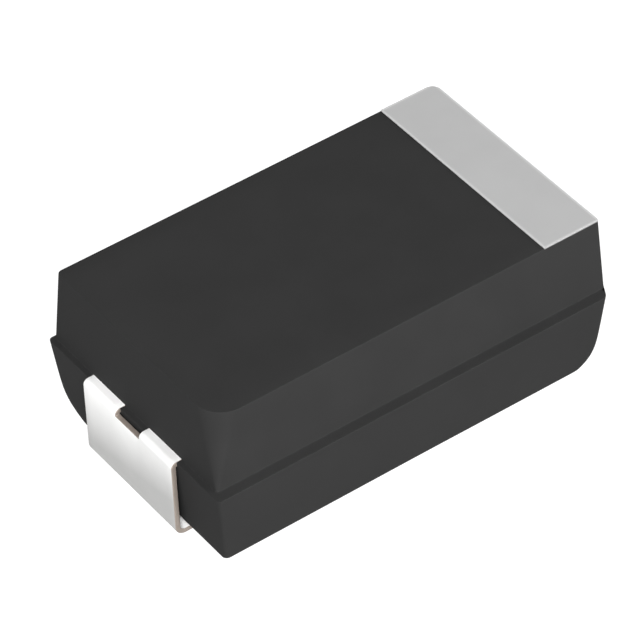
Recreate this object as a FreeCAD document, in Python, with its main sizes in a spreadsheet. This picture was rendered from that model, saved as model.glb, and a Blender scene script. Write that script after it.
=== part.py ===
"""Moulded tantalum chip capacitor, case 7343-31, in millimetres.

X runs along the length, from the cathode end towards the anode end that carries the polarity band.
Y runs across the width and Z up. The origin lies under the middle of the part, on the board that
its two terminal feet stand on.
"""
import FreeCAD, Part
import math
import os
from enum import IntEnum

import Sketcher

# Driving sizes, in millimetres and degrees
SIZES = {
    # Epoxy case: two halves of one moulding, which meet at the parting height
    "body_length": 6.97,
    "body_width": 4.30,
    "body_height": 2.70,
    "parting_height": 1.43,
    "shoulder_height": 0.38,
    "underside_height": 0.12,
    # Step at the parting line: the upper half is narrower, and the halves sit a little off centre,
    # the upper one towards the anode end and the far side, the lower one towards the cathode end
    "side_step": 0.10,
    "offset_along": 0.05,
    "upper_offset_across": 0.085,
    # Draft that lets each half leave its mould
    "upper_draft": 3.8,
    "lower_draft": 5.5,
    # Corner radii of the upper half's top outline
    "top_cathode_near_radius": 0.45,
    "top_cathode_far_radius": 0.08,
    "top_anode_near_radius": 0.04,
    "top_anode_far_radius": 0.16,
    # Corner radii where the halves meet, at the lower half's shoulder and round the underside
    "parting_corner_radius": 0.10,
    "parting_crisp_radius": 0.04,
    "shoulder_corner_radius": 0.14,
    "shoulder_crisp_radius": 0.05,
    "underside_corner_radius": 0.42,
    "underside_crisp_radius": 0.08,
    # Raised pad in the middle of the underside, which takes the mounting glue
    "glue_pad_length": 3.50,
    "glue_pad_width": 3.40,
    "glue_pad_clearance": 0.06,
    "glue_pad_corner_radius": 0.25,
    # Terminals: strips of the lead frame that leave at the parting line and fold under the ends
    "lead_thickness": 0.08,
    "lead_width": 2.23,
    "exit_bend_radius": 0.01,
    "foot_bend_radius": 0.09,
    "foot_length": 1.30,
    # Window through the bend where each strip leaves the case
    "window_width": 0.58,
    "window_drop": 0.10,
    "window_reach_inside": 0.30,
    # Inner ends of the strips
    "anode_tab_reach": 0.78,
    "cathode_step_reach": 0.62,
    "cathode_step_radius": 0.08,
    "cathode_tongue_length": 1.90,
    # Sintered tantalum pellet and the wire pressed into it
    "pellet_length": 4.10,
    "pellet_width": 3.00,
    "pellet_height": 1.50,
    "pellet_edge_radius": 0.20,
    "pellet_wire_face": 1.90,
    "wire_diameter": 0.40,
    "wire_depth_in_pellet": 2.60,
    "wire_lap_on_tab": 0.48,
    "weld_sink": 0.04,
    # Washer on the wire
    "washer_diameter": 1.10,
    "washer_thickness": 0.15,
    # Layers of the cathode, from the pellet outwards
    "manganese_thickness": 0.05,
    "graphite_thickness": 0.04,
    "silver_thickness": 0.05,
    "silver_bare_margin": 0.20,
    # Conductive adhesive between the silver and the cathode tongue
    "adhesive_thickness": 0.05,
    "adhesive_length": 1.40,
    "adhesive_width": 2.00,
    "adhesive_corner_radius": 0.15,
    # Printed polarity band on the top face
    "band_length": 1.00,
    "band_thickness": 0.015,
}

SHEET_NAME = "Sizes"

document = FreeCAD.newDocument("tantalum_capacitor")
sheet = document.addObject("Spreadsheet::Sheet", SHEET_NAME)
for row, (alias, number) in enumerate(SIZES.items(), start=1):
    sheet.set(f"A{row}", alias)
    sheet.set(f"B{row}", str(number))
    sheet.setAlias(f"B{row}", alias)
document.recompute()


class Size:
    """A length with its number and the formula on the sheet that gives it."""

    def __init__(self, number, formula):
        self.number = number
        self.formula = formula

    def __add__(self, other):
        return Size(self.number + other.number, f"({self.formula} + {other.formula})")

    def __sub__(self, other):
        return Size(self.number - other.number, f"({self.formula} - {other.formula})")

    def __neg__(self):
        return Size(-self.number, f"(-{self.formula})")

    def half(self):
        """Half of this length."""
        return Size(self.number / 2, f"({self.formula} / 2)")

    def slope(self, draft):
        """How far a wall of this height leans in at the draft angle."""
        lean = self.number * math.tan(math.radians(draft.number))
        return Size(lean, f"({self.formula} * tan({draft.formula} * 1 deg))")


def size(alias):
    """The size that the sheet holds under this alias."""
    return Size(SIZES[alias], f"{SHEET_NAME}.{alias}")


NOTHING = Size(0.0, "0")


def bind(feature, target, length):
    """Tie a property or a named constraint of a feature to the sheet."""
    feature.setExpression(target, length.formula)


def new_body(name):
    """An empty body that names its own piece."""
    body = document.addObject("PartDesign::Body", name)
    body.Label = name
    return body


def new_sketch(body, name, role, offset=None):
    """A sketch on one of the body's own origin planes, moved along that plane's normal."""
    sketch = body.newObject("Sketcher::SketchObject", name)
    plane = next(item for item in body.Origin.OriginFeatures if item.Role == role)
    sketch.AttachmentSupport = [(plane, "")]
    sketch.MapMode = "FlatFace"
    if offset is not None:
        bind(sketch, "AttachmentOffset.Base.z", offset)
    return sketch


def measure(sketch, kind, references, name, length):
    """A named dimension of the sketch, tied to the sheet."""
    index = sketch.addConstraint(Sketcher.Constraint(kind, *references, length.number))
    sketch.renameConstraint(index, name)
    bind(sketch, f"Constraints.{name}", length)


def point(across, up):
    """A point of a sketch."""
    return FreeCAD.Vector(across, up, 0)


class Spot(IntEnum):
    """How a sketch numbers its own axes and the points of a curve."""

    START = 1
    END = 2
    CENTRE = 3
    LEVEL_AXIS = -1
    UPRIGHT_AXIS = -2


START, END, CENTRE = Spot.START, Spot.END, Spot.CENTRE
ORIGIN = (Spot.LEVEL_AXIS, START)
UPWARDS = FreeCAD.Vector(0, 0, 1)


def four(radius):
    """The same radius at each corner of an outline."""
    return [radius, radius, radius, radius]


SQUARE_CORNERS = [None, None, None, None]


def corner_arc(before, corner, after, radius):
    """The arc that rounds a corner, and whether it runs forwards along the outline."""
    arriving = (corner - before).normalize()
    leaving = (after - corner).normalize()
    turn = arriving.getAngle(leaving)
    trim = radius * math.tan(turn / 2)
    forwards = arriving.cross(leaving).z > 0
    inward = point(-arriving.y, arriving.x) if forwards else point(arriving.y, -arriving.x)
    first = corner - arriving * trim
    last = corner + leaving * trim
    centre = first + inward * radius
    low, high = (first, last) if forwards else (last, first)
    angles = [math.atan2((end - centre).y, (end - centre).x) for end in (low, high)]
    arc = Part.ArcOfCircle(Part.Circle(centre, UPWARDS, radius), *angles)
    return arc, forwards, first, last


def draw_line(sketch, corners, radii, closed):
    """Straight runs through the corners, each rounded where it has a radius.

    corners are points, radii maps a corner's number to a Size. The runs are level or upright.
    Returns the runs' numbers in the sketch.
    """
    count = len(corners)
    trims = {}
    for number, radius in radii.items():
        before = corners[(number - 1) % count]
        after = corners[(number + 1) % count]
        trims[number] = corner_arc(before, corners[number], after, radius.number)
    runs = []
    for number in range(count if closed else count - 1):
        following = (number + 1) % count
        begin = trims[number][3] if number in trims else corners[number]
        finish = trims[following][2] if following in trims else corners[following]
        run = sketch.addGeometry(Part.LineSegment(begin, finish), False)
        level = abs((finish - begin).y) < abs((finish - begin).x)
        sketch.addConstraint(Sketcher.Constraint("Horizontal" if level else "Vertical", run))
        runs.append(run)
    for number in range(count):
        if not closed and number in (0, count - 1):
            continue
        arriving, leaving = runs[number - 1], runs[number % len(runs)]
        if number not in trims:
            sketch.addConstraint(Sketcher.Constraint("Coincident", arriving, END, leaving, START))
            continue
        arc, forwards, _, _ = trims[number]
        curve = sketch.addGeometry(arc, False)
        near, far = (START, END) if forwards else (END, START)
        sketch.addConstraint(Sketcher.Constraint("Tangent", arriving, END, curve, near))
        sketch.addConstraint(Sketcher.Constraint("Tangent", curve, far, leaving, START))
        measure(sketch, "Radius", (curve,), f"corner_{number}", radii[number])
    return runs


def draw_outline(sketch, west, east, south, north, radii):
    """A closed rectangle between four distances from the sketch's origin.

    west and south are measured away from the origin on the negative side. radii are given in the
    order south-west, south-east, north-east, north-west, with None where the corner is square.
    """
    corners = [
        point(-west.number, -south.number),
        point(east.number, -south.number),
        point(east.number, north.number),
        point(-west.number, north.number),
    ]
    rounded = {number: radius for number, radius in enumerate(radii) if radius is not None}
    south_run, east_run, north_run, west_run = draw_line(sketch, corners, rounded, closed=True)
    measure(sketch, "DistanceY", (south_run, START, *ORIGIN), "south", south)
    measure(sketch, "DistanceX", (*ORIGIN, east_run, START), "east", east)
    measure(sketch, "DistanceY", (*ORIGIN, north_run, START), "north", north)
    measure(sketch, "DistanceX", (west_run, START, *ORIGIN), "west", west)


def pad(body, name, sketch, length, reverse=False):
    """Material raised from a sketch over a length."""
    feature = body.newObject("PartDesign::Pad", name)
    feature.Profile = sketch
    feature.Reversed = reverse
    bind(feature, "Length", length)
    body.Tip = feature
    return feature


def pocket(body, name, sketch, depth, reverse=False):
    """Material taken away below a sketch over a depth."""
    document.recompute()
    before = body.Shape.Volume
    feature = body.newObject("PartDesign::Pocket", name)
    feature.Profile = sketch
    feature.Reversed = reverse
    bind(feature, "Length", depth)
    body.Tip = feature
    document.recompute()
    if not body.Shape.Volume < before:
        raise RuntimeError(f"{name} takes nothing away from {body.Label}")
    return feature


def ruled_loft(body, name, outlines):
    """A drafted block through outlines at rising heights."""
    feature = body.newObject("PartDesign::AdditiveLoft", name)
    feature.Profile = outlines[0]
    feature.Sections = outlines[1:]
    feature.Ruled = True
    body.Tip = feature
    return feature


# Heights and reaches that several pieces share
thickness = size("lead_thickness")
half_length = size("body_length").half()
half_width = size("body_width").half()
lead_reach = half_length + size("offset_along") + size("exit_bend_radius") + thickness
wire_height = size("parting_height") + size("wire_diameter").half() - size("weld_sink")
layers = size("manganese_thickness") + size("graphite_thickness") + size("silver_thickness")
silver_underside = wire_height - size("pellet_height").half() - layers
tongue_height = silver_underside - size("adhesive_thickness") - thickness.half()
pellet_far_face = size("pellet_length") - size("pellet_wire_face")


def upper_outline(body, name, height, lean, radii):
    """The upper half's outline where its walls have leant in by so much."""
    sketch = new_sketch(body, name, "XY_Plane", height)
    along = half_length - lean
    across = half_width - size("side_step") - lean
    draw_outline(
        sketch,
        west=along - size("offset_along"),
        east=along + size("offset_along"),
        south=across - size("upper_offset_across"),
        north=across + size("upper_offset_across"),
        radii=radii,
    )
    return sketch


def lower_outline(body, name, height, lean, radii):
    """The lower half's outline where its walls have leant in by so much."""
    sketch = new_sketch(body, name, "XY_Plane", height)
    along = half_length - lean
    across = half_width - lean
    draw_outline(
        sketch,
        west=along + size("offset_along"),
        east=along - size("offset_along"),
        south=across,
        north=across,
        radii=radii,
    )
    return sketch


def one_crisp(level):
    """The corner radii at one level of the case: crisp at the near cathode corner, alike elsewhere."""
    crisp, alike = size(f"{level}_crisp_radius"), size(f"{level}_corner_radius")
    return [crisp, alike, alike, alike]


def build_case_block():
    """The epoxy moulding as if it were full: both halves and the glue pad under them."""
    body = new_body("case_block")
    lower_rise = size("parting_height") - size("underside_height")
    shoulder_rise = size("parting_height") - size("shoulder_height")
    upper_rise = size("body_height") - size("parting_height")
    underside = lower_outline(body, "underside_outline", size("underside_height"),
                              lower_rise.slope(size("lower_draft")), one_crisp("underside"))
    shoulder = lower_outline(body, "shoulder_outline", size("shoulder_height"),
                             shoulder_rise.slope(size("lower_draft")), one_crisp("shoulder"))
    ledge = lower_outline(body, "ledge_outline", size("parting_height"), NOTHING, one_crisp("parting"))
    ruled_loft(body, "lower_half", [underside, shoulder, ledge])
    waist = upper_outline(body, "waist_outline", size("parting_height"), NOTHING, one_crisp("parting"))
    top = upper_outline(body, "top_outline", size("body_height"), upper_rise.slope(size("upper_draft")),
                        [size("top_cathode_near_radius"), size("top_anode_near_radius"),
                         size("top_anode_far_radius"), size("top_cathode_far_radius")])
    ruled_loft(body, "upper_half", [waist, top])
    pad_sketch = new_sketch(body, "glue_pad_outline", "XY_Plane", size("underside_height"))
    reach, spread = size("glue_pad_length").half(), size("glue_pad_width").half()
    draw_outline(pad_sketch, reach, reach, spread, spread, four(size("glue_pad_corner_radius")))
    pad(body, "glue_pad", pad_sketch, size("underside_height") - size("glue_pad_clearance"), reverse=True)
    return body


def build_band():
    """The printed polarity band, which follows the top face's own edges at the anode end."""
    body = new_body("polarity_band")
    sketch = new_sketch(body, "band_outline", "XY_Plane", size("body_height"))
    upper_rise = size("body_height") - size("parting_height")
    lean = upper_rise.slope(size("upper_draft"))
    east = half_length - lean + size("offset_along")
    across = half_width - size("side_step") - lean
    draw_outline(
        sketch,
        west=size("band_length") - east,
        east=east,
        south=across - size("upper_offset_across"),
        north=across + size("upper_offset_across"),
        radii=[None, size("top_anode_near_radius"), size("top_anode_far_radius"), None],
    )
    pad(body, "band_print", sketch, size("band_thickness"))
    return body


def build_strip(name, side, inner_corners, inner_radii, pin_inner_end):
    """A terminal strip of the lead frame, bent round one end of the case.

    side is -1 at the cathode end and +1 at the anode end. The strip's middle line starts at the
    foot's tip, runs out along the board, up the end face and in at the parting height, and then
    through inner_corners. pin_inner_end places the runs that lie inside the case.
    """
    body = new_body(name)
    foot_tip = lead_reach - size("foot_length")
    upright = lead_reach - thickness.half()
    foot_height = thickness.half()
    exit_height = size("parting_height") - thickness.half()
    corners = [
        point(side * foot_tip.number, foot_height.number),
        point(side * upright.number, foot_height.number),
        point(side * upright.number, exit_height.number),
    ] + inner_corners
    radii = {
        1: size("foot_bend_radius") + thickness.half(),
        2: size("exit_bend_radius") + thickness.half(),
    }
    radii.update(inner_radii)
    route = new_sketch(body, f"{name}_middle_line", "XZ_Plane")
    runs = draw_line(route, corners, radii, closed=False)
    outward = (lambda run, end: (*ORIGIN, run, end)) if side > 0 else (lambda run, end: (run, end, *ORIGIN))
    measure(route, "DistanceX", outward(runs[0], START), "foot_tip", foot_tip)
    measure(route, "DistanceY", (*ORIGIN, runs[0], START), "foot_height", foot_height)
    measure(route, "DistanceX", outward(runs[1], START), "upright", upright)
    measure(route, "DistanceY", (*ORIGIN, runs[2], START), "exit_height", exit_height)
    pin_inner_end(route, runs, outward)

    tip_plane = foot_tip if side > 0 else -foot_tip
    section = new_sketch(body, f"{name}_section", "YZ_Plane", tip_plane)
    flat = size("lead_width").half()
    draw_outline(section, flat, flat, NOTHING, thickness, SQUARE_CORNERS)
    sweep = body.newObject("PartDesign::AdditivePipe", f"{name}_strip")
    sweep.Profile = section
    sweep.Spine = (route, [f"Edge{number + 1}" for number in range(len(route.Geometry))])
    body.Tip = sweep

    window = new_sketch(body, f"{name}_window", "XY_Plane", size("parting_height"))
    outer_side = lead_reach + thickness
    inner_side = half_length - size("window_reach_inside")
    gap = size("window_width").half()
    west, east = (outer_side, -inner_side) if side < 0 else (-inner_side, outer_side)
    draw_outline(window, west, east, gap, gap, SQUARE_CORNERS)
    pocket(body, f"{name}_window_cut", window, size("window_drop"))
    return body


def build_cathode_terminal():
    """The cathode strip, which steps down inside the case and ends in a tongue under the pellet."""
    step = half_length - size("cathode_step_reach")
    tongue_tip = step - size("cathode_tongue_length")
    exit_height = size("parting_height") - thickness.half()
    corners = [
        point(-step.number, exit_height.number),
        point(-step.number, tongue_height.number),
        point(-tongue_tip.number, tongue_height.number),
    ]
    bend = size("cathode_step_radius") + thickness.half()

    def pin(route, runs, outward):
        measure(route, "DistanceX", outward(runs[3], START), "step", step)
        measure(route, "DistanceY", (*ORIGIN, runs[4], START), "tongue_height", tongue_height)
        measure(route, "DistanceX", outward(runs[4], END), "tongue_tip", tongue_tip)

    return build_strip("cathode_terminal", -1, corners, {3: bend, 4: bend}, pin)


def build_anode_strip():
    """The anode strip, whose inner tab carries the end of the tantalum wire."""
    tab_tip = half_length - size("anode_tab_reach")
    exit_height = size("parting_height") - thickness.half()

    def pin(route, runs, outward):
        measure(route, "DistanceX", outward(runs[2], END), "tab_tip", tab_tip)

    return build_strip("anode_strip", 1, [point(tab_tip.number, exit_height.number)], {}, pin)


def build_block(name, growth, west, east):
    """A pressed block round the wire's line, the pellet's section grown by so much on each side."""
    body = new_body(name)
    sketch = new_sketch(body, f"{name}_section", "YZ_Plane", -west)
    side = size("pellet_width").half() + growth
    below = size("pellet_height").half() + growth - wire_height
    above = size("pellet_height").half() + growth + wire_height
    draw_outline(sketch, side, side, below, above, four(size("pellet_edge_radius") + growth))
    pad(body, f"{name}_press", sketch, west + east)
    return body


def draw_circle(sketch, name, radius):
    """A circle about the wire's line."""
    centre = point(0, wire_height.number)
    curve = sketch.addGeometry(Part.Circle(centre, UPWARDS, radius.number), False)
    sketch.addConstraint(Sketcher.Constraint("PointOnObject", curve, CENTRE, Spot.UPRIGHT_AXIS))
    measure(sketch, "DistanceY", (*ORIGIN, curve, CENTRE), f"{name}_height", wire_height)
    measure(sketch, "Radius", (curve,), f"{name}_radius", radius)


def build_pellet():
    """The sintered pellet, with the hole that the wire was pressed into."""
    body = build_block("tantalum_pellet", NOTHING, pellet_far_face, size("pellet_wire_face"))
    mouth = new_sketch(body, "wire_hole", "YZ_Plane", size("pellet_wire_face"))
    draw_circle(mouth, "hole", size("wire_diameter").half())
    pocket(body, "wire_hole_cut", mouth, size("wire_depth_in_pellet"))
    return body


def build_wire():
    """The tantalum wire from the bottom of its hole to its lap on the anode tab."""
    body = new_body("riser_wire")
    start = size("pellet_wire_face") - size("wire_depth_in_pellet")
    tip = half_length - size("anode_tab_reach") + size("wire_lap_on_tab")
    section = new_sketch(body, "wire_section", "YZ_Plane", start)
    draw_circle(section, "wire", size("wire_diameter").half())
    pad(body, "wire_length", section, tip - start)
    return body


def build_washer():
    """The washer that keeps the manganese from climbing the wire."""
    body = new_body("wire_washer")
    face = size("pellet_wire_face") + size("manganese_thickness")
    ring = new_sketch(body, "washer_outline", "YZ_Plane", face)
    draw_circle(ring, "rim", size("washer_diameter").half())
    draw_circle(ring, "bore", size("wire_diameter").half())
    pad(body, "washer_disc", ring, size("washer_thickness"))
    return body


def build_adhesive():
    """The pad of conductive adhesive on the cathode tongue."""
    body = new_body("silver_adhesive")
    level = silver_underside - size("adhesive_thickness")
    sketch = new_sketch(body, "adhesive_outline", "XY_Plane", level)
    west = pellet_far_face
    side = size("adhesive_width").half()
    draw_outline(sketch, west, size("adhesive_length") - west, side, side,
                 four(size("adhesive_corner_radius")))
    pad(body, "adhesive_pad", sketch, size("adhesive_thickness"))
    return body


def join(name, pieces):
    """Several pieces taken as one, only to cut the space that they fill."""
    fused = document.addObject("Part::MultiFuse", name)
    fused.Shapes = pieces
    return fused


def cut(name, base, tool):
    """What is left of a block once the tool's space is taken out of it."""
    result = document.addObject("Part::Cut", name)
    result.Label = name
    result.Base = base
    result.Tool = tool
    return result


case_block = build_case_block()
polarity_band = build_band()
cathode_terminal = build_cathode_terminal()
anode_strip = build_anode_strip()
tantalum_pellet = build_pellet()
riser_wire = build_wire()
wire_washer = build_washer()
silver_adhesive = build_adhesive()

# The weld leaves a round seat for the wire in the anode tab
anode_terminal = cut("anode_terminal", anode_strip, riser_wire)

# Each layer is a block grown by its thickness, less everything that it coats
manganese_growth = size("manganese_thickness")
graphite_growth = manganese_growth + size("graphite_thickness")
manganese_block = build_block("manganese_block", manganese_growth, pellet_far_face + manganese_growth,
                              size("pellet_wire_face") + manganese_growth)
graphite_block = build_block("graphite_block", graphite_growth, pellet_far_face + graphite_growth,
                             size("pellet_wire_face"))
silver_block = build_block("silver_block", layers, pellet_far_face + layers,
                           size("pellet_wire_face") - size("silver_bare_margin"))
pellet_and_wire = join("pellet_and_wire", [tantalum_pellet, riser_wire])
manganese_layer = cut("manganese_dioxide_layer", manganese_block, pellet_and_wire)
graphite_coat = cut("graphite_coat", graphite_block, manganese_block)
silver_coat = cut("silver_coat", silver_block, graphite_block)

# The case is moulded round everything that it holds
contents = join("case_contents", [
    anode_terminal, cathode_terminal, tantalum_pellet, riser_wire, wire_washer,
    manganese_layer, graphite_coat, silver_coat, silver_adhesive,
])
molded_case = cut("molded_case", case_block, contents)

PIECES = [
    molded_case, polarity_band, anode_terminal, cathode_terminal, tantalum_pellet, riser_wire,
    wire_washer, manganese_layer, graphite_coat, silver_coat, silver_adhesive,
]

document.recompute()
for item in document.Objects:
    if "Invalid" in item.State or "Error" in item.State:
        raise RuntimeError(f"{item.Label} did not build: {item.State}")
for piece in PIECES:
    if piece.Shape.isNull() or not piece.Shape.isValid():
        raise RuntimeError(f"{piece.Label} is not a valid shape")
    if len(piece.Shape.Solids) != 1:
        raise RuntimeError(f"{piece.Label} has {len(piece.Shape.Solids)} solids")

os.makedirs("parts", exist_ok=True)
for piece in PIECES:
    piece.Shape.exportStep(os.path.join("parts", f"{piece.Label}.step"))
    box = piece.Shape.BoundBox
    print(f"{piece.Label}: volume {piece.Shape.Volume:.4f}, "
          f"x {box.XMin:.3f} to {box.XMax:.3f}, y {box.YMin:.3f} to {box.YMax:.3f}, "
          f"z {box.ZMin:.3f} to {box.ZMax:.3f}")
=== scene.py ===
"""Dresses the moulded tantalum chip capacitor of case 7343-31, in metres.

X runs along the length from the cathode end to the anode end, Y across the width and Z up from the
board. The camera looks at the near side, which faces -Y, and at the cathode end, which faces -X.
"""
import logging
import math
from dataclasses import dataclass
from enum import Enum, IntEnum

import bmesh
import bpy
import numpy as np
from mathutils import Matrix, Vector


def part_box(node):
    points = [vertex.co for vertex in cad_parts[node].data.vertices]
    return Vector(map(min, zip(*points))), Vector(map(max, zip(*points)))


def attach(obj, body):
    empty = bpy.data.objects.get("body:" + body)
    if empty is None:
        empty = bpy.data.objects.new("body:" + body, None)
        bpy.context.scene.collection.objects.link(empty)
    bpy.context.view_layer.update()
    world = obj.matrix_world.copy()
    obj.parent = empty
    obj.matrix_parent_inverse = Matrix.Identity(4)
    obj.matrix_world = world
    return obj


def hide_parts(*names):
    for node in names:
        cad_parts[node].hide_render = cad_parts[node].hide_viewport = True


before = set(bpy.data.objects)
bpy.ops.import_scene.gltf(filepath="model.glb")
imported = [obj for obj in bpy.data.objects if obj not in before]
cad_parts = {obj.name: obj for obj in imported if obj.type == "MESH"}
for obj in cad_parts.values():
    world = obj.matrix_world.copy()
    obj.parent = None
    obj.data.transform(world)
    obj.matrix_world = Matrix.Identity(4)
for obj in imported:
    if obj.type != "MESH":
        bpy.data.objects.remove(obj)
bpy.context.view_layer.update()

MM = 0.001
ROOT = "root"
# The attribute that says how much a point belongs to the print's rim, which is painted lighter as a
# highlight
RIM = "rim"
# Points that lie closer than this are one point
WELD = 1e-5 * MM
# The least length that anything is divided by
NOWHERE = 1e-9 * MM

Colour = tuple[float, float, float, float]
Tree = bpy.types.NodeTree
Socket = bpy.types.NodeSocket

log = logging.getLogger("capacitor")


# Colours and nodes


WHITE: Colour = (1.0, 1.0, 1.0, 1.0)
# The sRGB curve is straight up to its knee and a power of the value above it
SRGB_KNEE = 0.04045
SRGB_SLOPE = 12.92
SRGB_OFFSET = 0.055
SRGB_POWER = 2.4
# A colour mix has several sockets of one name, so they go by number
MIX_SHARE, MIX_FIRST, MIX_SECOND, MIX_RESULT = 0, 6, 7, 2


def linear(colour: str) -> Colour:
    """Turn an sRGB hex colour into the linear colour that a shader takes.

    A channel up to the knee is divided by the slope. One above it gets the offset, is divided by
    1 plus the offset and raised to the power.

    Args:
        colour: The colour as six hex digits.

    Returns:
        Red, green, blue and a full alpha, all linear.
    """
    channels = [int(colour[place:place + 2], 16) / 255 for place in (0, 2, 4)]
    red, green, blue = (
        c / SRGB_SLOPE if c <= SRGB_KNEE else ((c + SRGB_OFFSET) / (1 + SRGB_OFFSET)) ** SRGB_POWER
        for c in channels
    )
    return red, green, blue, 1.0


def per_metre(millimetres: float) -> float:
    """The texture scale at which a pattern repeats after so many millimetres."""
    return 1 / (millimetres * MM)


def add_node(
    tree: Tree,
    kind: str,
    settings: dict[str, object] | None = None,
    inputs: dict[str | int, object] | None = None,
) -> bpy.types.Node:
    """Add a node with its settings, its input values and the links that come into it.

    Args:
        tree: The node tree that gets the node.
        kind: The node's type, such as ShaderNodeBump.
        settings: Properties of the node itself.
        inputs: A value or another node's output for each input, by its name or number.

    Returns:
        The new node.
    """
    node = tree.nodes.new(kind)
    for name, value in (settings or {}).items():
        setattr(node, name, value)
    for name, value in (inputs or {}).items():
        socket = node.inputs[name]
        if isinstance(value, bpy.types.NodeSocket):
            tree.links.new(value, socket)
        else:
            socket.default_value = value
    return node


@dataclass(frozen=True)
class Finish:
    """A real surface: what it is made of, and the fine pattern that its making left on it.

    The colour drifts from base to drift and back over patches, and the roughness goes up and down
    with them. The grain is a fine relief, finer along an axis where its stretch is more than 1.
    A print can have a rim of another colour, a painted highlight along its edge. A strip can have
    painted shade, darker below one height and bright above another one, and the slant is how far
    both heights fall for each unit along Y.
    """

    name: str
    base: str
    drift: str
    roughness: float
    roughness_drift: float = 0.04
    metallic: float = 0.0
    specular: float = 0.5
    patch_mm: float = 0.6
    grain_mm: float = 0.03
    grain_stretch: tuple[float, float, float] = (1.0, 1.0, 1.0)
    relief_mm: float = 0.001
    relief_strength: float = 0.3
    rim: str | None = None
    painted_shade: str | None = None
    painted_shade_below_mm: float = 0.0
    painted_light_above_mm: float = 1.0
    painted_shade_slant: float = 0.0
    patch_detail: float = 4.0
    patch_spread: tuple[float, float] = (0.35, 0.65)
    grain_detail: float = 3.0

    def patches(self, tree: Tree, place: Socket) -> Socket:
        """Soft patches of colour and polish.

        Args:
            tree: The material's node tree.
            place: The coordinates on the piece.

        Returns:
            A value from 0 to 1 that drifts over the surface.
        """
        cloud = add_node(tree, "ShaderNodeTexNoise", None, {
            "Vector": place,
            "Scale": per_metre(self.patch_mm),
            "Detail": self.patch_detail,
        })
        low, high = self.patch_spread
        spread = add_node(tree, "ShaderNodeMapRange", None, {
            "Value": cloud.outputs["Fac"],
            "From Min": low,
            "From Max": high,
        })
        return spread.outputs["Result"]

    def colour(self, tree: Tree, place: Socket, patches: Socket) -> Socket:
        """The surface's colour, with its painted rim highlight or its painted shade towards the
        foot where it has one.

        Args:
            tree: The material's node tree.
            place: The coordinates on the piece.
            patches: The drift over the surface.

        Returns:
            The colour.
        """
        ground = self.blended(tree, linear(self.base), self.drift, patches)
        if self.rim is not None:
            # Painted highlight: the rim along the print's edge is coloured lighter
            edge = add_node(tree, "ShaderNodeAttribute", {"attribute_name": RIM})
            return self.blended(tree, ground, self.rim, edge.outputs["Fac"])
        # Painted shade and reflection: the colour darkens from the base towards the foot along a
        # slanted height
        if self.painted_shade is not None:
            upwards = (0.0, self.painted_shade_slant, 1.0)
            height = add_node(
                tree, "ShaderNodeVectorMath", {"operation": "DOT_PRODUCT"}, {0: place, 1: upwards}
            )
            low = add_node(tree, "ShaderNodeMapRange", None, {
                "Value": height.outputs["Value"],
                "From Min": self.painted_light_above_mm * MM,
                "From Max": self.painted_shade_below_mm * MM,
            })
            return self.blended(tree, ground, self.painted_shade, low.outputs["Result"])
        return ground

    @staticmethod
    def blended(tree: Tree, first: Socket | Colour, second: str, share: Socket) -> Socket:
        """Blend a colour into another one.

        Args:
            tree: The material's node tree.
            first: The colour where the share is 0.
            second: The colour where it is 1, as six hex digits.
            share: The share of the second colour.

        Returns:
            The blended colour.
        """
        blend = add_node(tree, "ShaderNodeMix", {"data_type": "RGBA"}, {
            MIX_SHARE: share,
            MIX_FIRST: first,
            MIX_SECOND: linear(second),
        })
        return blend.outputs[MIX_RESULT]

    def grain(self, tree: Tree, place: Socket) -> Socket:
        """The fine relief that the surface's making left.

        Args:
            tree: The material's node tree.
            place: The coordinates on the piece.

        Returns:
            The tilted normals.
        """
        drawn = add_node(tree, "ShaderNodeMapping", None, {
            "Vector": place,
            "Scale": self.grain_stretch,
        })
        grit = add_node(tree, "ShaderNodeTexNoise", None, {
            "Vector": drawn.outputs["Vector"],
            "Scale": per_metre(self.grain_mm),
            "Detail": self.grain_detail,
        })
        bump = add_node(tree, "ShaderNodeBump", None, {
            "Height": grit.outputs["Fac"],
            "Distance": self.relief_mm * MM,
            "Strength": self.relief_strength,
        })
        return bump.outputs["Normal"]

    def material(self) -> bpy.types.Material:
        """Build the finish.

        Returns:
            A material whose patterns follow the piece's own coordinates.
        """
        material = bpy.data.materials.new(self.name)
        material.use_nodes = True
        tree = material.node_tree
        tree.nodes.clear()
        place = add_node(tree, "ShaderNodeTexCoord").outputs["Object"]
        patches = self.patches(tree, place)
        polish = add_node(tree, "ShaderNodeMapRange", None, {
            "Value": patches,
            "To Min": self.roughness - self.roughness_drift,
            "To Max": self.roughness + self.roughness_drift,
        })
        shader = add_node(tree, "ShaderNodeBsdfPrincipled", None, {
            "Base Color": self.colour(tree, place, patches),
            "Roughness": polish.outputs["Result"],
            "Metallic": self.metallic,
            "Normal": self.grain(tree, place),
        })
        if not self.metallic:
            shader.inputs["Specular IOR Level"].default_value = self.specular
        add_node(tree, "ShaderNodeOutputMaterial", None, {"Surface": shader.outputs["BSDF"]})
        return material


# Epoxy moulding compound, black with silica filler: dead matt from the spark-eroded mould
MOULDED_EPOXY = Finish(
    "moulded_epoxy_compound", "2a2a2a", "2c2c2c", roughness=0.72, roughness_drift=0.025,
    specular=0.04, patch_mm=0.9, grain_mm=0.035, relief_mm=0.0015, relief_strength=0.25,
)
# Printed marking ink: flat grey and a little thicker along the print's edge, where its lighter
# colour is a painted highlight. Its pigment is far finer than the grain, which is drawn at 0.03 mm
# so that it shows.
MARKING_INK = Finish(
    "printed_marking_ink", "9c9c9c", "9e9e9e", roughness=0.6, specular=0.2,
    patch_mm=0.5, grain_mm=0.03, relief_mm=0.001, relief_strength=0.2, rim="b0b0b0",
)
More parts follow.
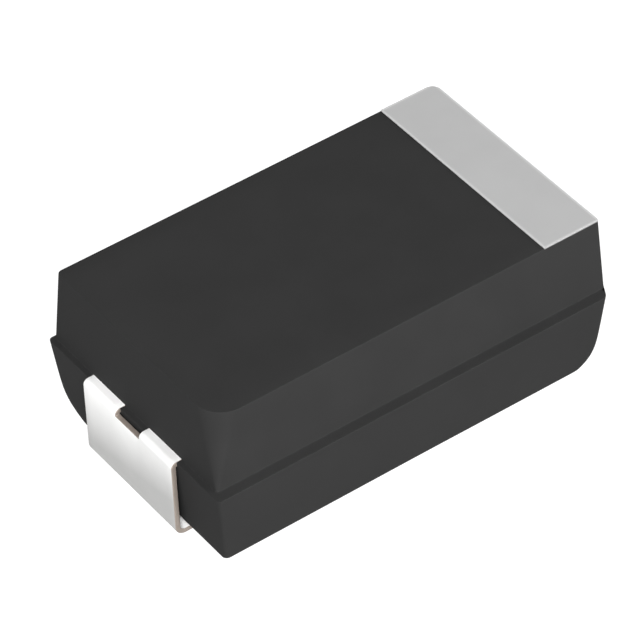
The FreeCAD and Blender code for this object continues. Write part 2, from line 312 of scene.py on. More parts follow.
# Matt tin plating on rolled strip: white, with faint draw lines. Its colour is painted bright near
# the upper bend and darker towards the foot, at a slight slant: painted shade and reflection. Its
# crystals are a few thousandths of a millimetre, so they are drawn at 0.02, the finest grain that
# shows.
MATT_TIN = Finish(
    "matt_tin_plating", "f4f4f3", "f1f1f0", roughness=0.5, metallic=0.2, patch_mm=0.35,
    grain_mm=0.02, grain_stretch=(1.0, 2.5, 1.0), relief_mm=0.0006, relief_strength=0.2,
    painted_shade="acacab", painted_shade_below_mm=0.48, painted_light_above_mm=1.50, painted_shade_slant=0.18,
)
# The same plating on the strip's inner side, painted lighter and with no darker foot: painted light
# where the case shades it
LIGHTENED_INNER_TIN = Finish(
    "matt_tin_plating_painted_lighter", "f9f9f8", "f6f6f5", roughness=0.5, metallic=0.2,
    patch_mm=0.35, grain_mm=0.02, relief_mm=0.0006, relief_strength=0.2,
)
# Bare strip where the press sheared it after plating: warm grey alloy with fine shear marks
SHEARED_EDGE = Finish(
    "sheared_strip_alloy", "948a81", "8e847c", roughness=0.5, metallic=0.4, patch_mm=0.15,
    grain_mm=0.012, grain_stretch=(3.0, 1.0, 3.0), relief_mm=0.001, relief_strength=0.4,
)
# Porous sintered tantalum powder: dark grey and grainy
SINTERED_TANTALUM = Finish(
    "sintered_tantalum_powder", "4b4c50", "5a5b60", roughness=0.8, metallic=1.0,
    patch_mm=0.12, grain_mm=0.02, relief_mm=0.004, relief_strength=0.8,
)
# Drawn tantalum wire: steel grey with lines along its length, drawn coarse enough to show
DRAWN_TANTALUM = Finish(
    "drawn_tantalum_wire", "7d7f86", "888a90", roughness=0.35, metallic=1.0, patch_mm=0.3,
    grain_mm=0.02, grain_stretch=(0.1, 1.0, 1.0), relief_mm=0.001, relief_strength=0.4,
)
# Skived fluoropolymer: waxy white
FLUOROPOLYMER = Finish(
    "skived_fluoropolymer", "eeeeea", "e6e6e0", roughness=0.45, patch_mm=0.3, grain_mm=0.05,
    relief_mm=0.001, relief_strength=0.2,
)
# Fired manganese dioxide: black, dull and crusty
MANGANESE_DIOXIDE = Finish(
    "fired_manganese_dioxide", "1d1a18", "292422", roughness=0.85, patch_mm=0.08, grain_mm=0.025,
    relief_mm=0.004, relief_strength=0.8,
)
# Dipped graphite: dark grey with a slight sheen
DIPPED_GRAPHITE = Finish(
    "dipped_graphite", "2c2c2e", "36363a", roughness=0.5, patch_mm=0.2, grain_mm=0.03,
    relief_mm=0.002, relief_strength=0.4,
)
# Silver-loaded paint: flat warm white metal with flakes
SILVER_PAINT = Finish(
    "dipped_silver_paint", "c9c7c0", "bdbbb3", roughness=0.55, metallic=0.8, patch_mm=0.1,
    grain_mm=0.02, relief_mm=0.002, relief_strength=0.5,
)
# Silver-filled adhesive: the same metal in more resin, greyer and rougher
SILVER_ADHESIVE = Finish(
    "silver_filled_adhesive", "b0aea6", "a4a29a", roughness=0.6, metallic=0.6, patch_mm=0.1,
    grain_mm=0.03, relief_mm=0.003, relief_strength=0.6,
)


# Surfaces


def make_piece(
    name: str, grid: np.ndarray, finish: Finish, rim: np.ndarray | None = None
) -> bpy.types.Object:
    """Turn a grid of points into a closed, smooth piece.

    The grid's rows are the courses of the surface. Its columns run round it, and the last one joins
    the first. Points that lie on each other, such as a pole's, become one.

    Args:
        name: The piece's name.
        grid: Points in metres, as rows by columns by three.
        finish: The finish that the piece wears.
        rim: How much each point belongs to the rim, as rows by columns.

    Returns:
        The piece, with its faces turned outwards.
    """
    rows, columns, _ = grid.shape
    here = np.arange(rows * columns).reshape(rows, columns)
    beside = np.roll(here, -1, axis=1)
    quads = np.stack([here[:-1], beside[:-1], beside[1:], here[1:]], axis=-1).reshape(-1, 4)
    mesh = bpy.data.meshes.new(name)
    mesh.from_pydata(grid.reshape(-1, 3).tolist(), [], quads.tolist())
    if rim is not None:
        layer = mesh.attributes.new(RIM, "FLOAT", "POINT")
        layer.data.foreach_set("value", rim.reshape(-1).astype(np.float32))
    return finish_piece(name, mesh, [finish])


def finish_piece(name: str, mesh: bpy.types.Mesh, finishes: list[Finish]) -> bpy.types.Object:
    """Weld a mesh, turn its faces outwards, shade it smooth and give it its finishes.

    Args:
        name: The piece's name.
        mesh: The mesh, in place.
        finishes: The finishes that its material slots hold.

    Returns:
        The piece.
    """
    shell = bmesh.new()
    shell.from_mesh(mesh)
    bmesh.ops.remove_doubles(shell, verts=shell.verts, dist=WELD)
    bmesh.ops.recalc_face_normals(shell, faces=shell.faces)
    shell.to_mesh(mesh)
    shell.free()
    mesh.shade_smooth()
    for finish in finishes:
        mesh.materials.append(finish.material())
    piece = bpy.data.objects.new(name, mesh)
    bpy.context.scene.collection.objects.link(piece)
    return piece


# How strongly the wide faces set the shading, where 50 weighs each face by its plain area
WIDE_FACE_WEIGHT = 80


def keep_flats_flat(piece: bpy.types.Object) -> None:
    """Let the wide faces set the shading, so that only the small roundings catch the light."""
    weighted = piece.modifiers.new("flat_faces", "WEIGHTED_NORMAL")
    weighted.mode = "FACE_AREA"
    weighted.weight = WIDE_FACE_WEIGHT


class Corner(IntEnum):
    """The corners of an outline, in the order in which it runs round, seen from above."""

    CATHODE_NEAR = 0
    ANODE_NEAR = 1
    ANODE_FAR = 2
    CATHODE_FAR = 3


# Each corner's place, as its signs along X and Y, and the angle at which its arc begins
CORNER_SIDES = np.array([(-1, -1), (1, -1), (1, 1), (-1, 1)], float)
ARC_BEGINNINGS = np.radians([180.0, 270.0, 0.0, 90.0])
# The largest share of a run that the ease of an edge takes up
MOST_OF_A_RUN = 0.45


@dataclass(frozen=True)
class Outline:
    """A level rectangle with a radius of its own at each corner, in metres."""

    centre: tuple[float, float]
    reach: tuple[float, float]
    radii: tuple[float, float, float, float]
    height: float

    def shrunk_to_its_middle(self) -> "Outline":
        """The same outline drawn together to one point."""
        return Outline(self.centre, (0.0, 0.0), (0.0, 0.0, 0.0, 0.0), self.height)

    def leaning_in(self, lean: float, height: float, radii: tuple[float, ...]) -> "Outline":
        """The outline that a drafted wall has at another height, with the radii there."""
        reach = (self.reach[0] - lean, self.reach[1] - lean)
        return Outline(self.centre, reach, tuple(radii), height)

    def points(self, arc_steps: int, side_steps: int) -> np.ndarray:
        """Points round the outline.

        A corner's points are its arc's centre plus the radius times the cosine and sine of the
        angle, and a side's points lie on the straight line between two arcs.

        Args:
            arc_steps: Steps round each corner.
            side_steps: Steps along each side.

        Returns:
            Points as columns by three, going round anticlockwise.
        """
        radii = np.array(self.radii)[:, None]
        middles = np.array(self.centre) + CORNER_SIDES * (np.array(self.reach) - radii)
        angles = ARC_BEGINNINGS[:, None] + np.linspace(0.0, np.pi / 2, arc_steps + 1)[None, :]
        towards = np.stack([np.cos(angles), np.sin(angles)], axis=-1)
        arcs = middles[:, None, :] + radii[..., None] * towards
        leave, arrive = arcs[:, -1], np.roll(arcs[:, 0], -1, axis=0)
        share = (np.arange(1, side_steps) / side_steps)[None, :, None]
        sides = leave[:, None, :] * (1 - share) + arrive[:, None, :] * share
        flat = np.concatenate([arcs, sides], axis=1).reshape(-1, 2)
        return np.column_stack([flat, np.full(len(flat), self.height)])


def stacked(
    courses: list[Outline],
    eases: list[float],
    runs: list[int],
    arc_steps: int = 14,
    side_steps: int = 20,
    ease_steps: int = 6,
) -> np.ndarray:
    """Build a wall up through outlines, with each edge between two runs eased.

    Each column of points is a profile. Where it turns, the corner B is replaced by the curve
    (1 - t) squared times A, plus 2 t (1 - t) times B, plus t squared times C. A and C lie the
    ease's length before and after B, but no further than MOST_OF_A_RUN of the run.

    Args:
        courses: The outlines, from one pole to the other.
        eases: The ease at each inner outline, in metres.
        runs: Steps along each run between two outlines.
        arc_steps: Steps round each corner of an outline.
        side_steps: Steps along each side of an outline.
        ease_steps: Steps over each eased edge.

    Returns:
        Points as rows by columns by three.
    """
    corners = np.stack([course.points(arc_steps, side_steps) for course in courses])
    steps = np.diff(corners, axis=0)
    lengths = np.maximum(np.linalg.norm(steps, axis=-1, keepdims=True), NOWHERE)
    trims = np.array([0.0, *eases, 0.0])[:, None, None]
    leaves = np.minimum(trims[:-1] / lengths, MOST_OF_A_RUN)
    arrives = np.minimum(trims[1:] / lengths, MOST_OF_A_RUN)
    begin = corners[:-1] + steps * leaves
    end = corners[1:] - steps * arrives
    rows = []
    for run, count in enumerate(runs):
        share = np.linspace(0.0, 1.0, count + 1)[:, None, None]
        rows.append(begin[run] * (1 - share) + end[run] * share)
        if run < len(runs) - 1 and eases[run] > 0:
            t = (np.arange(1, ease_steps) / ease_steps)[:, None, None]
            turn = corners[run + 1]
            rows.append(end[run] * (1 - t) ** 2 + turn * 2 * t * (1 - t) + begin[run + 1] * t ** 2)
    return np.concatenate(rows)


# The epoxy case and its print


@dataclass
class EpoxyCase:
    """The moulded case: two drafted halves that meet in a step, and the glue pad underneath.

    The drafts are in degrees, and each row of radii is in the order of Corner. The steps are those
    of the surface from the pad's middle to its edge, over the underside, the ledge and the upper
    wall, and from the top's edge to its middle.
    """

    side_step: float = 0.10 * MM
    offset_along: float = 0.05 * MM
    offset_across: float = 0.085 * MM
    upper_draft: float = 3.8
    lower_draft: float = 5.5
    underside_rise: float = 0.06 * MM
    pad_reach: tuple[float, float] = (1.75 * MM, 1.70 * MM)
    pad_radius: float = 0.25 * MM
    top_radii: tuple[float, ...] = (0.45 * MM, 0.04 * MM, 0.16 * MM, 0.08 * MM)
    parting_radii: tuple[float, ...] = (0.04 * MM, 0.10 * MM, 0.10 * MM, 0.06 * MM)
    underside_radii: tuple[float, ...] = (0.08 * MM, 0.42 * MM, 0.50 * MM, 0.55 * MM)
    rounding_power: float = 8.0
    lower_courses: int = 16
    top_ease: float = 0.016 * MM
    waist_ease: float = 0.012 * MM
    ledge_ease: float = 0.012 * MM
    foot_ease: float = 0.030 * MM
    pad_ease: float = 0.015 * MM
    pad_steps: int = 6
    underside_steps: int = 3
    ledge_steps: int = 2
    wall_steps: int = 8
    top_steps: int = 8

    def __post_init__(self) -> None:
        """Take the overall sizes from the frame."""
        low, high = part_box("molded_case")
        self.half_length = -low.x - self.offset_along
        self.half_width = high.y
        self.top = high.z
        self.pad_height = low.z
        self.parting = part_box("cathode_terminal")[1].z

    def top_outline(self) -> Outline:
        """The outline of the top face."""
        lean = (self.top - self.parting) * math.tan(math.radians(self.upper_draft))
        return self.waist_outline().leaning_in(lean, self.top, self.top_radii)

    def waist_outline(self) -> Outline:
        """The outline of the upper half at the parting height."""
        reach = (self.half_length, self.half_width - self.side_step)
        centre = (self.offset_along, self.offset_across)
        return Outline(centre, reach, self.parting_radii, self.parting)

    def lower_outlines(self) -> list[Outline]:
        """The lower half's outlines from its underside up to the parting height.

        At the share s of the way up, a corner's radius is the one at the parting height plus its
        growth towards the underside times (1 - s) to the rounding power, so that a corner stays
        sharp and rounds off only near the board.

        Returns:
            The outlines, from the underside upwards.
        """
        underside = self.pad_height + self.underside_rise
        shares = np.linspace(0.0, 1.0, self.lower_courses + 1)
        heights = underside + shares * (self.parting - underside)
        leans = (self.parting - heights) * math.tan(math.radians(self.lower_draft))
        above, below = np.array(self.parting_radii), np.array(self.underside_radii)
        radii = above + (below - above) * ((1.0 - shares) ** self.rounding_power)[:, None]
        reach = (self.half_length, self.half_width)
        ledge = Outline((-self.offset_along, 0.0), reach, self.parting_radii, self.parting)
        places = zip(leans.tolist(), heights.tolist(), radii.tolist())
        return [ledge.leaning_in(*place) for place in places]

    def build(self) -> bpy.types.Object:
        """Build the case from the middle of its glue pad up to the middle of its top.

        Returns:
            The case.
        """
        lower = self.lower_outlines()
        radii = (self.pad_radius,) * len(Corner)
        pad = Outline((0.0, 0.0), self.pad_reach, radii, self.pad_height)
        pad_root = Outline((0.0, 0.0), self.pad_reach, radii, lower[0].height)
        top = self.top_outline()
        courses = [
            pad.shrunk_to_its_middle(), pad, pad_root, *lower,
            self.waist_outline(), top, top.shrunk_to_its_middle(),
        ]
        unbroken = [0.0] * (self.lower_courses - 1)
        eases = [self.pad_ease, self.pad_ease, self.foot_ease, *unbroken,
                 self.ledge_ease, self.waist_ease, self.top_ease]
        runs = [self.pad_steps, 1, self.underside_steps, *[1] * self.lower_courses,
                self.ledge_steps, self.wall_steps, self.top_steps]
        case = make_piece("epoxy_case", stacked(courses, eases, runs), MOULDED_EPOXY)
        keep_flats_flat(case)
        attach(case, ROOT)
        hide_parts("molded_case")
        return case


@dataclass
class PolarityBand:
    """The printed band at the anode end, which runs out to the top's edges and just over them.

    Its corners on the top are square but for a tiny radius, and each drawn-in outline keeps at
    least a share of that radius. The steps are those across the rim, from the rim to the middle,
    and along each side.
    """

    case: EpoxyCase
    overhang: float = 0.012 * MM
    proud: float = 0.001 * MM
    square_radius: float = 0.006 * MM
    least_radius_share: float = 0.25
    edge_ease: float = 0.006 * MM
    rim_width: float = 0.040 * MM
    rim_height: float = 0.001 * MM
    rim_fade: float = 2.0
    rim_steps: int = 4
    middle_steps: int = 6
    side_steps: int = 24

    def outline(self, inset: float, height: float) -> Outline:
        """The band's outline, drawn in by an inset.

        Args:
            inset: How far the outline lies inside the band's edge.
            height: The outline's height.

        Returns:
            The outline.
        """
        low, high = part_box("polarity_band")
        centre = ((low.x + high.x) / 2, (low.y + high.y) / 2)
        half_length, half_width = (high.x - low.x) / 2, (high.y - low.y) / 2
        reach = (half_length + self.proud - inset, half_width + self.proud - inset)
        rounds = [self.square_radius, self.case.top_radii[Corner.ANODE_NEAR],
                  self.case.top_radii[Corner.ANODE_FAR], self.square_radius]
        least = self.square_radius * self.least_radius_share
        radii = tuple(max(radius - inset, least) for radius in rounds)
        return Outline(centre, reach, radii, height)

    def build(self) -> bpy.types.Object:
        """Build the band: its edge wall, the raised rim of ink and the flat print inside it.

        Returns:
            The band.
        """
        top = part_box("polarity_band")[1].z
        base = self.case.top - self.overhang
        flat = top - self.rim_height
        bottom = self.outline(0.0, base)
        inside = self.outline(self.rim_width * 2, flat)
        courses = [
            bottom.shrunk_to_its_middle(), bottom, self.outline(0.0, top),
            self.outline(self.rim_width, flat), inside, inside.shrunk_to_its_middle(),
        ]
        eases = [0.0, self.edge_ease, 0.0, 0.0]
        runs = [1, 1, self.rim_steps, 1, self.middle_steps]
        grid = stacked(courses, eases, runs, side_steps=self.side_steps)
        band = make_piece("band_print", grid, MARKING_INK, self.rim_share(grid, flat))
        keep_flats_flat(band)
        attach(band, ROOT)
        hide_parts("polarity_band")
        return band

    def rim_share(self, grid: np.ndarray, flat: float) -> np.ndarray:
        """How much each point belongs to the rim, whose lighter colour is a painted highlight.

        A point on the print's upper side has the share f (1 - d / w), held between 0 and 1, where
        d is its distance from the nearest straight edge, w the rim's width and f the rim's fade.
        The edge wall has 0.

        Args:
            grid: Points as rows by columns by three.
            flat: The height of the flat print.

        Returns:
            Shares as rows by columns.
        """
        low, high = (np.array(corner)[:2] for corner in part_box("polarity_band"))
        places = grid[..., :2]
        distance = np.minimum(places - low, high - places).min(axis=-1)
        share = np.clip(self.rim_fade * (1.0 - distance / self.rim_width), 0.0, 1.0)
        return np.where(grid[..., 2] >= flat, share, 0.0)


# The terminals


class End(Enum):
    """The two ends of the capacitor, with the direction in which each lies."""

    CATHODE = -1
    ANODE = 1


class StripSlot(IntEnum):
    """A strip's material slots, in the order of STRIP_FINISHES."""

    OUTER_SKIN = 0
    CUT_EDGE = 1
    INNER_SKIN = 2


STRIP_FINISHES = [MATT_TIN, SHEARED_EDGE, LIGHTENED_INNER_TIN]


class Run(IntEnum):
    """The straight runs of a strip's middle line that the window lies on, by their place in it."""

    UPRIGHT = 2
    EXIT = 4


@dataclass(frozen=True)
class Piecewise:
    """A flat path of straight runs and tangent arcs, as arrays with one entry for each."""

    starts: np.ndarray
    headings: np.ndarray
    bends: np.ndarray
    lengths: np.ndarray

    @property
    def joints(self) -> np.ndarray:
        """The distances along the path at which one run or arc gives way to the next."""
        return np.concatenate([[0.0], np.cumsum(self.lengths)])

    def at(self, distances: np.ndarray) -> tuple[np.ndarray, np.ndarray]:
        """Points and headings at distances along the path.

        On an arc of bend k (1 over its radius, positive to the left), the heading grows by k times
        the distance, and the point moves by the difference of the headings' sines and cosines over
        k. A straight run is the same with no bend.

        Args:
            distances: Distances from the start of the path.

        Returns:
            Points as columns of two, and headings in radians.
        """
        joints = self.joints
        before = np.searchsorted(joints, distances, side="right") - 1
        which = np.clip(before, 0, len(self.lengths) - 1)
        along = distances - joints[which]
        bend, heading = self.bends[which], self.headings[which]
        now = heading + bend * along
        curved = np.abs(bend) > 0
        safe = np.where(curved, bend, 1.0)
        across = np.where(curved, (np.sin(now) - np.sin(heading)) / safe, np.cos(heading) * along)
        upwards = np.where(curved, (np.cos(heading) - np.cos(now)) / safe, np.sin(heading) * along)
        return self.starts[which] + np.stack([across, upwards], axis=-1), now


def rounded_path(corners: list[tuple[float, float]], radii: list[float]) -> Piecewise:
    """Join corners by straight runs with a tangent arc at each inner corner.

    An arc takes its radius times the tangent of half its turn off the runs on both sides.

    Args:
        corners: The corners, in metres.
        radii: The radius at each inner corner.

    Returns:
        The path.
    """
    marks = np.array(corners)
    steps = np.diff(marks, axis=0)
    headings = np.unwrap(np.arctan2(steps[:, 1], steps[:, 0]))
    turns = np.diff(headings)
    trims = np.array(radii) * np.tan(np.abs(turns) / 2)
    spans = np.hypot(*steps.T) - np.append(trims, 0.0) - np.insert(trims, 0, 0.0)
    towards = np.stack([np.cos(headings), np.sin(headings)], axis=-1)
    run_starts = marks[:-1] + towards * np.insert(trims, 0, 0.0)[:, None]
    arc_starts = marks[1:-1] - towards[:-1] * trims[:, None]
    count = 2 * len(spans) - 1
    starts = np.empty((count, 2))
    starts[0::2], starts[1::2] = run_starts, arc_starts
    path_headings = np.empty(count)
    path_headings[0::2], path_headings[1::2] = headings, headings[:-1]
    bends = np.zeros(count)
    bends[1::2] = np.sign(turns) / np.array(radii)
    lengths = np.empty(count)
    lengths[0::2], lengths[1::2] = spans, np.abs(turns) * np.array(radii)
    return Piecewise(starts, path_headings, bends, lengths)


@dataclass
class Terminal:
    """A tin-plated strip of the lead frame, folded round one end of the case.

    Each bend is the radius of its inner side, and the reaches run inwards from the end of the
    case's upper half. Places along the strip are rounded to place_decimals decimals of a metre, so
    that equal ones meet. The rounding angle is in degrees.
    """

    end: End
    name: str
    node: str
    case: EpoxyCase
    thickness: float = 0.08 * MM
    foot_bend: float = 0.09 * MM
    exit_bend: float = 0.01 * MM
    foot_length: float = 1.30 * MM
    window_width: float = 0.58 * MM
    window_drop: float = 0.10 * MM
    window_reach: float = 0.30 * MM
    step_reach: float = 0.62 * MM
    step_bend: float = 0.08 * MM
    tab_reach: float = 0.78 * MM
    edge_round: float = 0.010 * MM
    proud_of_ledge: float = 0.002 * MM
    bend_points: int = 13
    side_points: int = 7
    window_points: int = 5
    place_decimals: int = 12
    rounding_segments: int = 3
    rounding_angle: float = 50.0

    def middle_line(self) -> Piecewise:
        """The strip's middle line, from the tip of its foot up and into the case.

        It is drawn with its distance from the part's middle as the first number, so that both
        strips are drawn alike.

        Returns:
            The path.
        """
        low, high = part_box(self.node)
        outer = max(-low.x, high.x)
        half = self.thickness / 2
        upright, exit_height = outer - half, high.z - half + self.proud_of_ledge
        tip = outer - self.foot_length
        corners = [(tip, half), (upright, half), (upright, exit_height)]
        radii = [self.foot_bend + half, self.exit_bend + half]
        if self.end is End.CATHODE:
            step = self.case.half_length - self.step_reach
            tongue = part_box("silver_adhesive")[0].z - half
            corners += [(step, exit_height), (step, tongue), (-high.x, tongue)]
            radii += [self.step_bend + half, self.step_bend + half]
        else:
            corners += [(self.case.half_length - self.tab_reach, exit_height)]
        return rounded_path(corners, radii)

    def window_span(self, path: Piecewise) -> tuple[float, float]:
        """Where the window lies along the strip, from its lower edge outside to its end inside.

        Args:
            path: The strip's middle line.

        Returns:
            The distances at which it begins and ends.
        """
        joints = path.joints
        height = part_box(self.node)[1].z - self.window_drop
        below = joints[Run.UPRIGHT] + (height - path.starts[Run.UPRIGHT][1])
        inside = self.case.half_length - self.window_reach
        beyond = joints[Run.EXIT] + (path.starts[Run.EXIT][0] - inside)
        return below, beyond

    def lines_along(self, path: Piecewise, window: tuple[float, float]) -> np.ndarray:
        """Where the strip's grid lines lie along it.

        Args:
            path: The strip's middle line.
            window: Where the window begins and ends.

        Returns:
            The distances of the path's joints, of points on its bends and of the window's ends.
        """
        joints = path.joints
        arcs = range(1, len(path.lengths), 2)
        bends = [np.linspace(joints[arc], joints[arc + 1], self.bend_points) for arc in arcs]
        places = np.concatenate([joints, *bends, window])
        return np.unique(np.round(places, self.place_decimals))

    def lines_across(self, half_width: float, half_window: float) -> np.ndarray:
        """Where the strip's grid lines lie across it.

        Args:
            half_width: Half the strip's width.
            half_window: Half the window's width.

        Returns:
            Evenly spaced places on each side of the window and over it.
        """
        return np.concatenate([
            np.linspace(-half_width, -half_window, self.side_points),
            np.linspace(-half_window, half_window, self.window_points)[1:-1],
            np.linspace(half_window, half_width, self.side_points),
        ])

    def build(self) -> bpy.types.Object:
        """Build the strip as a slab along its middle line, with the window left out.

        A point is the middle line's point plus or minus half the thickness along the line's
        normal, at its place across the strip.

        Returns:
            The strip.
        """
        path = self.middle_line()
        window = self.window_span(path)
        half_window = self.window_width / 2
        along = self.lines_along(path, window)
        across = self.lines_across(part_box(self.node)[1].y, half_window)
        kept = self.kept_cells(along, across, window, half_window)
        middle, heading = path.at(along)
        outward = np.stack([np.sin(heading), -np.cos(heading)], axis=-1) * self.thickness / 2
        mesh = slab(self.name, middle + outward, middle - outward, across, kept, self.end)
        strip = finish_piece(self.name, mesh, STRIP_FINISHES)
        rounding = strip.modifiers.new("rolled_edges", "BEVEL")
        rounding.width = self.edge_round
        rounding.segments = self.rounding_segments
        rounding.limit_method = "ANGLE"
        rounding.angle_limit = math.radians(self.rounding_angle)
        rounding.material = StripSlot.CUT_EDGE
        keep_flats_flat(strip)
        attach(strip, ROOT)
        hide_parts(self.node)
        return strip

    @staticmethod
    def kept_cells(
        along: np.ndarray, across: np.ndarray, window: tuple[float, float], half_window: float
    ) -> np.ndarray:
        """Which cells of the strip are metal, and not the window.

        Args:
            along: Distances of the grid lines along the strip.
            across: Places of the grid lines across it.
            window: Where the window begins and ends along the strip.
            half_window: Half its width.

        Returns:
            True for each cell that is kept, as lengthwise by crosswise cells.
        """
        middle_along = (along[1:] + along[:-1]) / 2
        middle_across = (across[1:] + across[:-1]) / 2
        in_length = (middle_along > window[0]) & (middle_along < window[1])
        in_width = np.abs(middle_across) < half_window
        return ~(in_length[:, None] & in_width[None, :])


def slab(
    name: str, outer: np.ndarray, inner: np.ndarray, across: np.ndarray, kept: np.ndarray, end: End
) -> bpy.types.Mesh:
    """Carry a flat section along two edge lines, leaving out the cells that are cut away.

    A point lies at its line's distance from the part's middle, times the end's direction, along X,
    at its place across the strip along Y, and at its line's height. Each kept cell gives a face of
    the outer and of the inner skin, and a wall of cut edge closes the slab wherever a kept cell has
    no kept neighbour.

    Args:
        name: The mesh's name.
        outer: The outer side's line, as points of distance from the middle and height.
        inner: The inner side's line.
        across: Places of the grid lines across the strip.
        kept: True for each cell that is metal.
        end: The end of the part that the strip is at.

    Returns:
        The mesh, with loose points left out.
    """
    lines = np.stack([outer, inner])
    shape = (len(lines), len(outer), len(across))
    x = np.broadcast_to(end.value * lines[:, :, None, 0], shape)
    y = np.broadcast_to(across[None, None, :], shape)
    z = np.broadcast_to(lines[:, :, None, 1], shape)
    points = np.stack([x, y, z], axis=-1).reshape(-1, 3)
    numbers = np.arange(points.shape[0]).reshape(shape)
    corner = numbers[:, :-1, :-1], numbers[:, 1:, :-1], numbers[:, 1:, 1:], numbers[:, :-1, 1:]
    cells = np.stack(corner, axis=-1)
    skins = cells[:, kept].reshape(-1, 4)
    framed = np.pad(kept, 1)
    walls = []
    for axis in (0, 1):
        change = np.diff(framed.astype(int), axis=axis)
        edges = change[:, 1:-1] if axis == 0 else change[1:-1, :]
        i, j = np.nonzero(edges)
        near = numbers[:, i, j]
        far = numbers[:, i, j + 1] if axis == 0 else numbers[:, i + 1, j]
        walls.append(np.stack([near[0], far[0], far[1], near[1]], axis=-1))
    sides = np.concatenate(walls)
    used, compact = np.unique(np.concatenate([skins, sides]), return_inverse=True)
    mesh = bpy.data.meshes.new(name)
    mesh.from_pydata(points[used].tolist(), [], compact.reshape(-1, 4).tolist())
    each_skin = len(skins) // len(lines)
    order = [StripSlot.OUTER_SKIN, StripSlot.INNER_SKIN, StripSlot.CUT_EDGE]
    slots = np.repeat(order, [each_skin, each_skin, len(sides)]).astype(np.int32)
    mesh.polygons.foreach_set("material_index", slots)
    return mesh


# What the case holds


@dataclass(frozen=True)
class InnerPiece:
    """A piece sealed in the case, which keeps its exact shape and gets its own finish."""

    node: str
    finish: Finish

    def dress(self) -> None:
        """Give the piece its finish."""
        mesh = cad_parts[self.node].data
        mesh.materials.clear()
        mesh.materials.append(self.finish.material())


INNER_PIECES = [
    InnerPiece("tantalum_pellet", SINTERED_TANTALUM),
    InnerPiece("riser_wire", DRAWN_TANTALUM),
    InnerPiece("wire_washer", FLUOROPOLYMER),
    InnerPiece("manganese_dioxide_layer", MANGANESE_DIOXIDE),
    InnerPiece("graphite_coat", DIPPED_GRAPHITE),
    InnerPiece("silver_coat", SILVER_PAINT),
    InnerPiece("silver_adhesive", SILVER_ADHESIVE),
]


# The studio


@dataclass(frozen=True)
class SoftBox:
    """A square studio light that faces the part, given by its direction and its brightness."""

    name: str
    azimuth: float
    elevation: float
    radiance: float
    distance: float = 0.12
    size: float = 0.06

    def build(self) -> None:
        """Place the light. Its power is pi times its radiance times its area."""
        light = bpy.data.lights.new(self.name, "AREA")
        light.shape = "SQUARE"
        light.size = self.size
        light.energy = math.pi * self.radiance * self.size ** 2
        lamp = bpy.data.objects.new(self.name, light)
        back = direction(self.azimuth, self.elevation)
        lamp.location = back * self.distance
        lamp.rotation_euler = back.to_track_quat("Z", "Y").to_euler()
        bpy.context.scene.collection.objects.link(lamp)


def direction(azimuth: float, elevation: float) -> Vector:
    """The direction in which something lies: azimuth 0 is towards -Y, and 90 towards +X.

    Args:
        azimuth: Degrees round the upright axis.
        elevation: Degrees above the board.

    Returns:
        A unit vector.
    """
    turn, rise = math.radians(azimuth), math.radians(elevation)
    level = math.cos(rise)
    return Vector((math.sin(turn) * level, -math.cos(turn) * level, math.sin(rise)))


SOFT_BOXES = [
    SoftBox("camera_side_box", azimuth=-34.5, elevation=43.0, radiance=14.0),
    SoftBox("low_camera_side_box", azimuth=-34.5, elevation=25.0, radiance=9.6),
    SoftBox("cathode_side_box", azimuth=-75.0, elevation=22.0, radiance=4.4),
    SoftBox("anode_side_box", azimuth=45.0, elevation=20.0, radiance=12.6),
    SoftBox("far_side_box", azimuth=135.0, elevation=8.0, radiance=4.0),
]


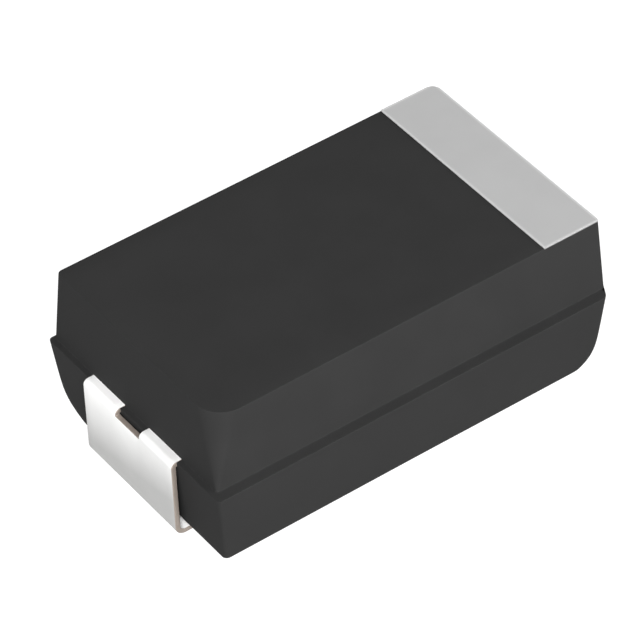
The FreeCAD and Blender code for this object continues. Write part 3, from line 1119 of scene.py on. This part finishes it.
@dataclass(frozen=True)
class Studio:
    """A pale floor, soft light and the camera at the photograph's angle.

    The angles are in degrees. The focal length is in pixels of a picture that is picture_pixels
    wide, and the sensor's width is in millimetres.
    """

    azimuth: float = -34.475
    elevation: float = 42.513
    roll: float = -2.480
    distance: float = 67.525 * MM
    aside: float = -0.2184 * MM
    above: float = 0.9937 * MM
    focal_pixels: float = 4573.1
    picture_pixels: int = 640
    sensor: float = 36.0
    nearest: float = 0.001
    furthest: float = 10.0
    sky: float = 0.02
    floor_size: float = 0.6
    floor_drop: float = 0.001 * MM
    floor_colour: str = "5a5a5a"
    floor_roughness: float = 0.9
    floor_specular: float = 0.1
    floor_glow: float = 1.02

    def build_camera(self) -> None:
        """Place the camera back along its axis, then aside and up in its own plane."""
        back = direction(self.azimuth, self.elevation)
        turn, tilt = math.radians(self.azimuth), math.radians(self.roll)
        level = Vector((math.cos(turn), math.sin(turn), 0.0))
        upright = back.cross(level)
        right = level * math.cos(tilt) + upright * math.sin(tilt)
        up = upright * math.cos(tilt) - level * math.sin(tilt)
        data = bpy.data.cameras.new("camera")
        data.sensor_fit = "HORIZONTAL"
        data.sensor_width = self.sensor
        data.lens = self.focal_pixels / self.picture_pixels * self.sensor
        data.clip_start = self.nearest
        data.clip_end = self.furthest
        camera = bpy.data.objects.new("camera", data)
        axes = Matrix((right, up, back)).transposed().to_4x4()
        place = back * self.distance + right * self.aside + up * self.above
        camera.matrix_world = Matrix.Translation(place) @ axes
        bpy.context.scene.collection.objects.link(camera)
        bpy.context.scene.camera = camera

    def build_floor(self) -> None:
        """Lay the floor just under the terminals' feet: an opal sheet that glows a plain white.

        It shows to the camera and in what the part reflects, but it doesn't light the part, which
        the soft boxes do.
        """
        half = self.floor_size / 2
        corners = [(-half, -half, 0.0), (half, -half, 0.0), (half, half, 0.0), (-half, half, 0.0)]
        mesh = bpy.data.meshes.new("floor")
        mesh.from_pydata(corners, [], [(0, 1, 2, 3)])
        material = bpy.data.materials.new("opal_light_table")
        material.use_nodes = True
        shader = material.node_tree.nodes["Principled BSDF"]
        shader.inputs["Base Color"].default_value = linear(self.floor_colour)
        shader.inputs["Roughness"].default_value = self.floor_roughness
        shader.inputs["Specular IOR Level"].default_value = self.floor_specular
        shader.inputs["Emission Color"].default_value = WHITE
        shader.inputs["Emission Strength"].default_value = self.floor_glow
        mesh.materials.append(material)
        floor = bpy.data.objects.new("floor", mesh)
        floor.location.z = -self.floor_drop
        floor.visible_diffuse = False
        bpy.context.scene.collection.objects.link(floor)

    def build_lights(self) -> None:
        """Hang the soft boxes, fill the room with faint even light and show tones as they are."""
        for box in SOFT_BOXES:
            box.build()
        world = bpy.data.worlds.new("room")
        world.use_nodes = True
        room = world.node_tree.nodes["Background"]
        room.inputs["Color"].default_value = WHITE
        room.inputs["Strength"].default_value = self.sky
        bpy.context.scene.world = world
        bpy.context.scene.view_settings.view_transform = "Standard"


def main() -> None:
    """Build the pieces in order, dress what the case holds, and set up the studio."""
    logging.basicConfig(level=logging.INFO, format="%(message)s")
    case = EpoxyCase()
    pieces = [
        case.build(),
        PolarityBand(case).build(),
        Terminal(End.CATHODE, "cathode_strip", "cathode_terminal", case).build(),
        Terminal(End.ANODE, "anode_strip", "anode_terminal", case).build(),
    ]
    for piece in pieces:
        log.info("%s: %d faces", piece.name, len(piece.data.polygons))
    for inner in INNER_PIECES:
        inner.dress()
        log.info("%s: %s", inner.node, inner.finish.name)
    studio = Studio()
    studio.build_floor()
    studio.build_lights()
    studio.build_camera()


if __name__ == "__main__":
    main()
